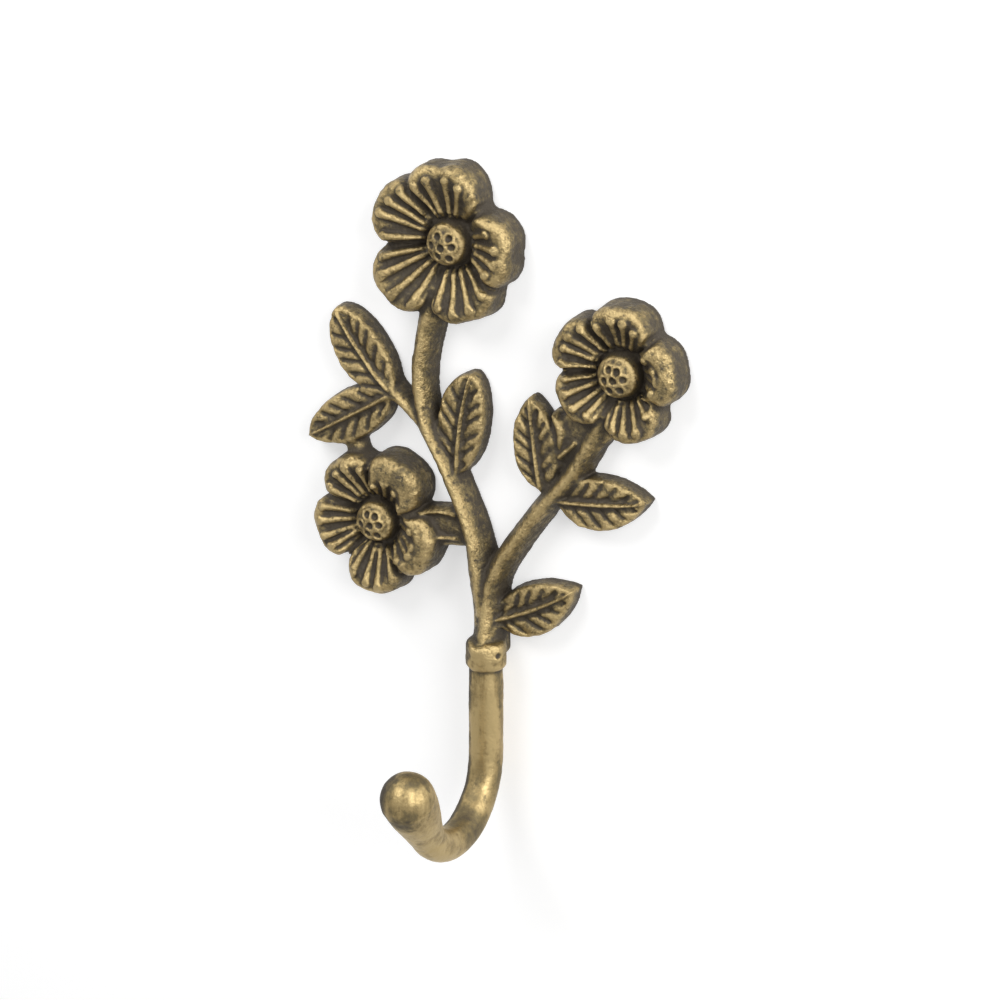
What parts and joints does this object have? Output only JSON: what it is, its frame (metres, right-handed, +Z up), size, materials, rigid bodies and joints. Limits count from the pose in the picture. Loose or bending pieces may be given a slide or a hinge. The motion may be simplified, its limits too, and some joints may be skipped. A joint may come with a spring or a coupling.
{
  "type": "decorative wall hook",
  "caption": "Cast brass wall hook: a forked spray of flowers and veined leaves above a collar and a J-shaped arm that ends in a ball, for hanging a coat, bag or towel",
  "frame": {"origin": "mouth of the lower fixing hole, on the flat back, where the trunk of the spray meets the wall", "axes": "+Z up the wall, -Y off the wall towards the room, +X to the right as the hook is faced; the arm bends in the x = 0 plane"},
  "size_m": [0.0968, 0.0497, 0.1612],
  "materials": {
    "antique_brass": "antique brass casting, dark brown patina in the recesses and rubbed gold on the high spots"
  },
  "bodies": {
    "root": {"hook_casting": "antique_brass"}
  },
  "joints": []
}
